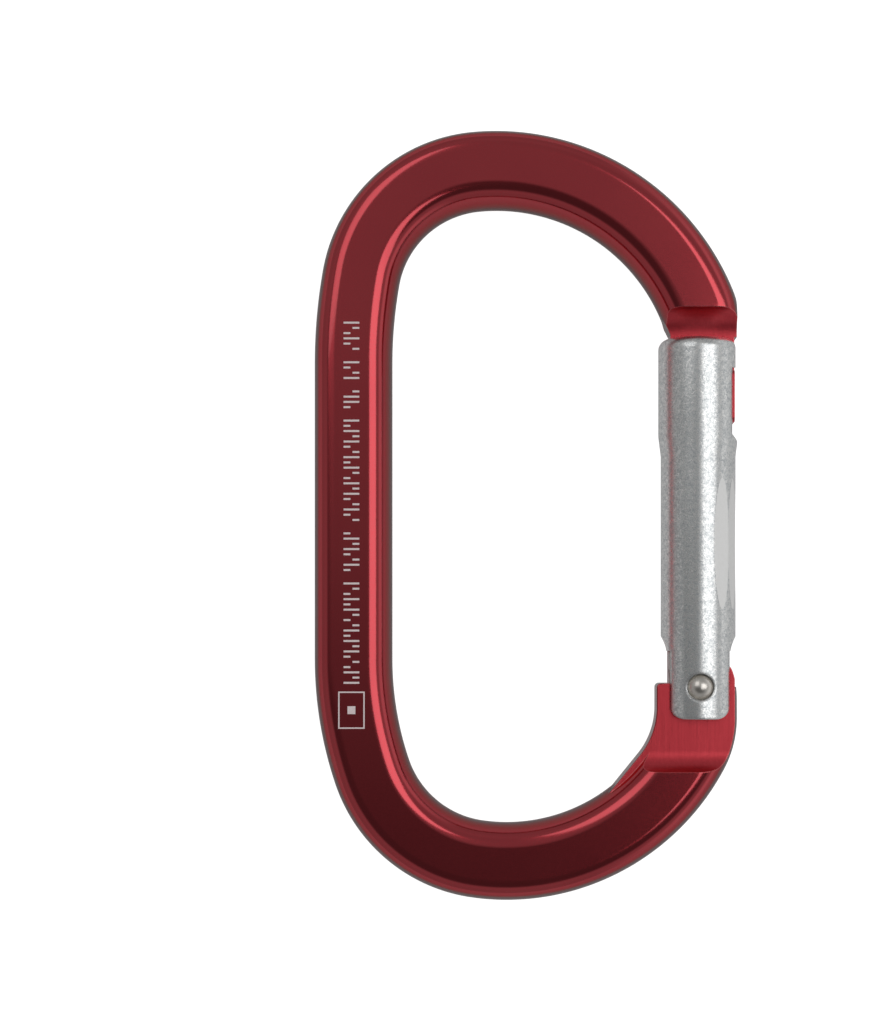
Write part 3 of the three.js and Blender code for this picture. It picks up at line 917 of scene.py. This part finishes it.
    def build(self, finishes: Finishes) -> bpy.types.Object:
        """Make the whole body, dress it and give it to its CAD body.

        Args:
            finishes: the carabiner's finishes.

        Returns:
            The body.
        """
        piece = new_object("forged_body", self.bar(), [finishes.red, finishes.milled_red])
        nose, tang = self.nose_side_tool(), self.tang_side_tool()
        high = (self.overcut, self.nose_face + self.overcut, self.overcut)
        flat = box((self.nose_outer, 0, -self.overcut), high)
        key_flat = box((self.key_outer, 0, -self.overcut), (self.overcut, self.key_flat_top, self.overcut))
        work(piece, [
            (Join.ADD, self.tang_plate(), -1),
            (Join.CUT, turned(tang.copy(), AXIS_Y, 180), 1),
            (Join.CUT, tang, 1),
            (Join.CUT, self.tang_plan_tool(), 0),
            (Join.CUT, rod(self.bore, -self.overcut, self.overcut, AXIS_Z), 1),
            (Join.CUT, turned(nose.copy(), AXIS_Y, 180), 1),
            (Join.CUT, nose, 1),
            (Join.CUT, self.nose_inner_tool(), 0),
            (Join.CUT, flat, 0),
            (Join.CUT, key_flat, 0),
        ])
        shade(piece, 20, 8)
        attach(piece, "frame")
        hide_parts("carabiner_body")
        return piece


@dataclass
class EtchedMarks:
    """The generic marks etched in the spine's front flat: rows of strokes and a plain frame."""

    stroke: float = 0.27
    full: float = 2.2
    short: float = 0.95
    pitch: float = 0.73
    gap: float = 1.15
    start: float = 26.8
    centre: float = 0.1
    proud: float = 0.015
    rows: tuple[str, ...] = (
        "|'.|.'", "|.'|", "'||.", "|.|'|.'|.|'.|'|.'|.'", ".|'|.'|.", "|'.|.|'.'|.|'|.'.|'|",
    )
    badge_middle: float = -27.3
    badge_wide: float = 3.7
    badge_tall: float = 5.2
    badge_dot: float = 1.1

    def plate(
        self, mesh: bmesh.types.BMesh, x: float, y: float, wide: float, tall: float, rim: float = 0,
    ) -> None:
        """Add a thin plate to the marks, or a frame.

        Args:
            mesh: the marks.
            x: its middle across the spine, in millimetres from the middle of the spine.
            y: its middle along the spine.
            wide: its size across the spine.
            tall: its size along the spine.
            rim: the width of a frame's rim, or 0 for a whole plate.
        """
        corners = bmesh.ops.create_grid(mesh, x_segments=1, y_segments=1, size=0.5)["verts"]
        face = corners[0].link_faces[0]
        level = CarabinerBody.thickness / 2 - self.proud
        bmesh.ops.scale(mesh, verts=corners, vec=Vector((wide, tall, 1)) * MM)
        bmesh.ops.translate(mesh, verts=corners, vec=SPINE + Vector((x, y, level)) * MM)
        faces = [face]
        if rim:
            faces = bmesh.ops.inset_individual(mesh, faces=[face], thickness=rim * MM)["faces"]
            bmesh.ops.delete(mesh, geom=[face], context="FACES_ONLY")
        raised = bmesh.ops.extrude_face_region(mesh, geom=faces, use_keep_orig=True)["geom"]
        lifted = [g for g in raised if isinstance(g, bmesh.types.BMVert)]
        bmesh.ops.translate(mesh, verts=lifted, vec=AXIS_Z * 2 * self.proud * MM)

    def build(self, finishes: Finishes) -> bpy.types.Object:
        """Make the marks and give them to the frame."""
        mesh = bmesh.new()
        side = (self.full - self.short) / 2
        y = self.start
        for row in self.rows:
            for mark in row:
                length = self.full if mark == "|" else self.short
                offset = {"|": 0, "'": side, ".": -side}[mark]
                self.plate(mesh, self.centre + offset, y, length, self.stroke)
                y -= self.pitch
            y -= self.gap
        self.plate(mesh, self.centre, self.badge_middle, self.badge_wide, self.badge_tall, self.stroke)
        self.plate(mesh, self.centre, self.badge_middle, self.badge_dot, self.badge_dot)
        bmesh.ops.recalc_face_normals(mesh, faces=mesh.faces[:])
        piece = new_object("etched_marks", mesh, [finishes.etched])
        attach(piece, "frame")
        return piece


# ---------------------------------------------------------------- the gate


@dataclass
class Gate:
    """The straight sleeve: a keyhole slot in its head, thumb facets, two ears at the hinge."""

    top: float = 49.2
    head: float = 5.65
    head_foot: float = 35.4
    barrel_top: float = 32.6
    barrel: float = 5.3
    rim: float = 1.5
    bottom: float = -4.5
    ear_half: float = 4.25
    ear_top: float = 4.2
    ear_bend: float = 4.8
    ear_corner: float = 2
    slot_half: float = 3.25
    slot_top: float = 5.05
    bore: float = 2.2
    bore_end: float = 20.6
    neck_half: float = 2.45
    neck_back: float = -4.4
    room_half: float = 3.35
    room_back: float = -3.65
    room_top: float = 44.95
    room_bottom: float = 36.9
    ramp_drop: float = 2.4
    ramp_reach: float = 2.5
    facet_angles: tuple[float, ...] = (35.5, 62.75, 90, 117.25, 144.5)
    facet_middle: float = 20.1
    facet_length: float = 18.5
    facet_depth: float = 0.16
    pin: float = 1.55
    seat: float = 4.45
    seat_radius: float = 1.9
    overcut: float = 12

    def blank(self) -> bmesh.types.BMesh:
        """Turn the solid blank on the lathe."""
        pen = Pen(Plane.PLAN, PIN, (0, self.bottom)).to(self.barrel, self.bottom)
        pen.to(self.barrel, self.barrel_top).to(self.head, self.head_foot)
        pen.to(self.head, self.top - self.rim)
        pen.turn(self.head - self.rim, self.top - self.rim, 90, 12).to(0, self.top)
        return lathe(pen, AXIS_Y, 128)

    def ear_tool(self) -> bmesh.types.BMesh:
        """What is milled off one side of the ears."""
        step = self.barrel - self.ear_half
        run = math.sqrt(self.ear_bend ** 2 - (self.ear_bend - step) ** 2)
        curve_top = self.ear_top + run
        sweep = math.degrees(math.asin(run / self.ear_bend))
        floor = self.bottom - self.overcut
        corner_x = self.ear_half - self.ear_corner
        pen = Pen(Plane.PLAN, PIN, (self.overcut, curve_top)).to(self.barrel, curve_top)
        pen.turn(self.ear_half + self.ear_bend, self.ear_top, sweep, 16)
        pen.to(self.ear_half, self.bottom + self.ear_corner)
        pen.turn(corner_x, self.bottom + self.ear_corner, -90, 12)
        pen.to(corner_x, floor).to(self.overcut, floor)
        return plate(pen.close(), -self.overcut, self.overcut)

    def keyhole_tools(self) -> list[bmesh.types.BMesh]:
        """The narrow way for the neck, and the room for the key with its ramp."""
        reach = self.top + self.overcut
        neck_low = (self.neck_back, self.room_top - 1, -self.neck_half)
        neck = box(neck_low, (self.overcut, reach, self.neck_half))
        low = self.room_bottom - self.ramp_drop
        pen = Pen(Plane.PLAN, PIN, (self.room_back, self.room_bottom)).to(self.room_back, self.room_top)
        pen.to(self.overcut, self.room_top).to(self.overcut, low).to(self.head, low)
        pen.to(self.head - self.ramp_reach, self.room_bottom)
        return [neck, plate(pen.close(), -self.room_half, self.room_half)]

    def facet_tool(self, angle: float) -> bmesh.types.BMesh:
        """One thumb facet: the tool's edge is a long arc, so the facet runs out at both ends."""
        half = self.facet_length / 2
        radius = (half ** 2 + self.facet_depth ** 2) / (2 * self.facet_depth)
        spread = math.degrees(math.asin(half / radius))
        floor = self.barrel - self.facet_depth
        pen = Pen(Plane.SIDE, PIN, (self.facet_middle + half, self.barrel))
        pen.turn(self.facet_middle, floor + radius, -2 * spread, 64)
        tool = plate(pen.close(), -self.barrel, self.barrel)
        return turned(tool, AXIS_Y, angle)

    def build(self, finishes: Finishes) -> bpy.types.Object:
        """Make the gate, dress it and give it to its CAD body.

        Args:
            finishes: the carabiner's finishes.

        Returns:
            The gate.
        """
        piece = new_object("gate", self.blank(), [finishes.aluminium, finishes.milled_aluminium])
        slot_low = (-self.overcut, self.bottom - self.overcut, -self.slot_half)
        tools = [box(slot_low, (self.overcut, self.slot_top, self.slot_half))]
        tools += [rod(self.bore, 0, self.bore_end, AXIS_Y)]
        tools += [rod(self.pin, -self.overcut, self.overcut, AXIS_Z)]
        tools += [rod(self.seat_radius, self.seat, self.overcut, AXIS_Z)]
        tools += [rod(self.seat_radius, -self.overcut, -self.seat, AXIS_Z)]
        tools += [self.ear_tool(), turned(self.ear_tool(), AXIS_Y, 180)]
        tools += self.keyhole_tools()
        tools += [self.facet_tool(angle) for angle in self.facet_angles]
        work(piece, [(Join.CUT, tool, 1) for tool in tools])
        shade(piece, 24, 4)
        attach(piece, "gate")
        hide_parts("gate_sleeve")
        return piece


@dataclass
class HingeRivet:
    """The through rivet, with a low dome at each end."""

    shank: float = 1.5
    head: float = 1.78
    crown: float = 5.65
    edge: float = 4.6
    under: float = 4.5

    def build(self, finishes: Finishes) -> bpy.types.Object:
        """Make the rivet and give it to the gate."""
        rise = self.crown - self.edge
        radius = (self.head ** 2 + rise ** 2) / (2 * rise)
        spread = math.degrees(math.asin(self.head / radius))
        pen = Pen(Plane.SECTION, PIN, (0, -self.crown))
        pen.turn(0, radius - self.crown, spread, 16)
        pen.to(self.head, -self.under).to(self.shank, -self.under).to(self.shank, self.under)
        pen.to(self.head, self.under).to(self.head, self.edge)
        pen.turn(0, self.crown - radius, spread, 16)
        piece = new_object("rivet", lathe(pen, AXIS_Z, 96), [finishes.stainless])
        shade(piece, 30, 30)
        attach(piece, "gate")
        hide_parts("hinge_rivet")
        return piece


@dataclass
class Plunger:
    """The pusher that the spring presses on the tang's cam."""

    radius: float = 2.1
    rest: float = 5.5
    length: float = 5
    spigot: float = 1.05
    spigot_length: float = 2
    chamfer: float = 0.25

    def build(self, finishes: Finishes) -> bpy.types.Object:
        """Make the plunger and give it to its own body."""
        top = self.rest + self.length
        tip = top + self.spigot_length
        pen = Pen(Plane.PLAN, PIN, (0, self.rest - self.radius))
        pen.turn(0, self.rest, 90, 16)
        pen.to(self.radius, top - self.chamfer).to(self.radius - self.chamfer, top).to(self.spigot, top)
        pen.to(self.spigot, tip - self.chamfer).to(self.spigot - self.chamfer, tip).to(0, tip)
        piece = new_object("plunger", lathe(pen, AXIS_Y, 64), [finishes.stainless])
        shade(piece, 30, 30)
        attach(piece, "plunger")
        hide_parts("spring_plunger")
        return piece


@dataclass
class ReturnSpring:
    """The coil spring in the gate's bore, with a closed turn at each end."""

    wire: float = 0.38
    coil: float = 1.65
    low: float = 10.6
    high: float = 20.5
    open_turns: int = 5
    steps: int = 40
    travel: float = 1.222

    def build(self, finishes: Finishes) -> bpy.types.Object:
        """Wind the spring."""
        mesh = bmesh.new()
        ring = bmesh.ops.create_circle(mesh, segments=16, radius=self.wire * MM)["verts"]
        start = PIN + Vector((self.coil, self.low + self.wire, 0)) * MM
        bmesh.ops.translate(mesh, verts=ring, vec=start)
        bmesh.ops.contextual_create(mesh, geom=mesh.edges[:])
        geometry = mesh.edges[:]
        closed = 2 * self.wire * 1.02
        length = self.high - self.low - 2 * self.wire
        for turns, rise in ((1, closed), (self.open_turns, length - 2 * closed), (1, closed)):
            steps = self.steps * turns
            made = bmesh.ops.spin(
                mesh, geom=geometry, cent=PIN, axis=AXIS_Y, dvec=AXIS_Y * rise / steps * MM,
                angle=2 * math.pi * turns, steps=steps,
            )
            geometry = [g for g in made["geom_last"] if isinstance(g, bmesh.types.BMEdge)]
        bmesh.ops.contextual_create(mesh, geom=geometry)
        piece = new_object("spring", tidy(mesh), [finishes.spring_steel])
        shade(piece, 40, 40)
        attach(piece, "gate")
        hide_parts("return_spring")
        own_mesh(piece)
        return piece


# ---------------------------------------------------------------- the studio


@dataclass
class Softbox:
    """A soft light that hangs level over the carabiner.

    The four edges are slopes from the carabiner: how far out for each metre up.
    """

    name: str
    left: float
    right: float
    near: float
    far: float
    radiance: float
    height: float = 0.7

    def build(self) -> bpy.types.Object:
        """Hang the light, facing down, and return it."""
        lamp = bpy.data.lights.new(self.name, "AREA")
        lamp.shape = "RECTANGLE"
        lamp.size = (self.right - self.left) * self.height
        lamp.size_y = (self.far - self.near) * self.height
        lamp.energy = self.radiance * math.pi * lamp.size * lamp.size_y
        light = bpy.data.objects.new(self.name, lamp)
        middle = Vector((self.left + self.right, self.near + self.far, 2)) / 2
        light.location = middle * self.height
        light.visible_camera = False
        bpy.context.scene.collection.objects.link(light)
        return light


@dataclass
class Studio:
    """The pale floor, the lights and the camera."""

    floor_size: float = 12
    camera_height: float = 310
    camera_x: float = 0.27
    camera_y: float = -17.6
    view_x: float = -12.93
    view_y: float = 0.57
    view_size: float = 145.4

    def build_floor(self) -> None:
        """Lay the plain floor that the carabiner lies on."""
        mesh = bmesh.new()
        bmesh.ops.create_grid(mesh, x_segments=1, y_segments=1, size=self.floor_size / 2)
        material, wiring, shader = start_finish("pale_floor")
        path = wiring.add("LightPath")
        glow = wiring.blend(path.outputs["Is Camera Ray"], (0.24, 0.24, 0.24, 1), (1, 1, 1, 1))
        shader.inputs["Base Color"].default_value = (0.5, 0.5, 0.5, 1)
        shader.inputs["Roughness"].default_value = 0.9
        shader.inputs["Emission Strength"].default_value = 1
        wiring.tree.links.new(glow, shader.inputs["Emission Color"])
        floor = new_object("floor", mesh, [material])

    def build_sky(self) -> None:
        """Set the surroundings: pale low down all round, mid grey overhead, dark nearer overhead."""
        world = bpy.data.worlds.new("surroundings")
        world.use_nodes = True
        wiring = Wiring(world.node_tree)
        place = wiring.add("TexCoord").outputs["Generated"]
        way = wiring.add("SeparateXYZ", {0: place}).outputs
        up = wiring.maths("MAXIMUM", way[2], 0.05)
        across = wiring.maths("DIVIDE", way[0], up)
        along = wiring.maths("DIVIDE", way[1], up)
        far_level = wiring.spread(across, -0.85, -0.4, 0.17, 0.31)
        overhead = wiring.spread(along, -0.08, 0.14, 0.09, far_level)
        right_side = wiring.spread(way[0], 0.35, 0.8, 0.32, 0.7)
        horizon = wiring.spread(way[2], 0.42, 0.3, 0.35, right_side)
        low_level = wiring.maths("MULTIPLY", wiring.spread(way[2], 0.74, 0.58, 0, 1), horizon)
        level = wiring.maths("MAXIMUM", overhead, low_level)
        background = world.node_tree.nodes["Background"]
        wiring.tree.links.new(level, background.inputs["Strength"])
        background.inputs["Color"].default_value = (1, 1, 1, 1)
        bpy.context.scene.world = world

    def build_camera(self) -> None:
        """Stand the camera over the carabiner, looking straight down on it."""
        lens = bpy.data.cameras.new("camera")
        lens.sensor_width = 36
        lens.lens = lens.sensor_width * self.camera_height / self.view_size
        lens.shift_x = (self.view_x - self.camera_x) / self.view_size
        lens.shift_y = (self.view_y - self.camera_y) / self.view_size
        lens.clip_start = 0.01
        camera = bpy.data.objects.new("camera", lens)
        camera.location = (self.camera_x * MM, self.camera_y * MM, PIN.z + self.camera_height * MM)
        bpy.context.scene.collection.objects.link(camera)
        bpy.context.scene.camera = camera

    def build(self) -> None:
        """Set up the whole studio."""
        bpy.context.scene.view_settings.view_transform = "Standard"
        self.build_floor()
        self.build_sky()
        Softbox("right_softbox", left=0.18, right=1.2, near=-0.3, far=0.5, radiance=1.35).build()
        Softbox("far_left_softbox", left=-1, right=-0.22, near=0.2, far=1.1, radiance=0.95).build()
        self.build_camera()


def main() -> None:
    """Build every piece in order and report each one."""
    logging.basicConfig(level=logging.INFO, format="%(name)s: %(message)s")
    finishes = Finishes()
    Studio().build()
    for part in (CarabinerBody(), EtchedMarks(), Gate(), HingeRivet(), Plunger(), ReturnSpring()):
        piece = part.build(finishes)
        LOG.info("%s: %d faces", piece.name, len(piece.data.polygons))


if __name__ == "__main__":
    main()
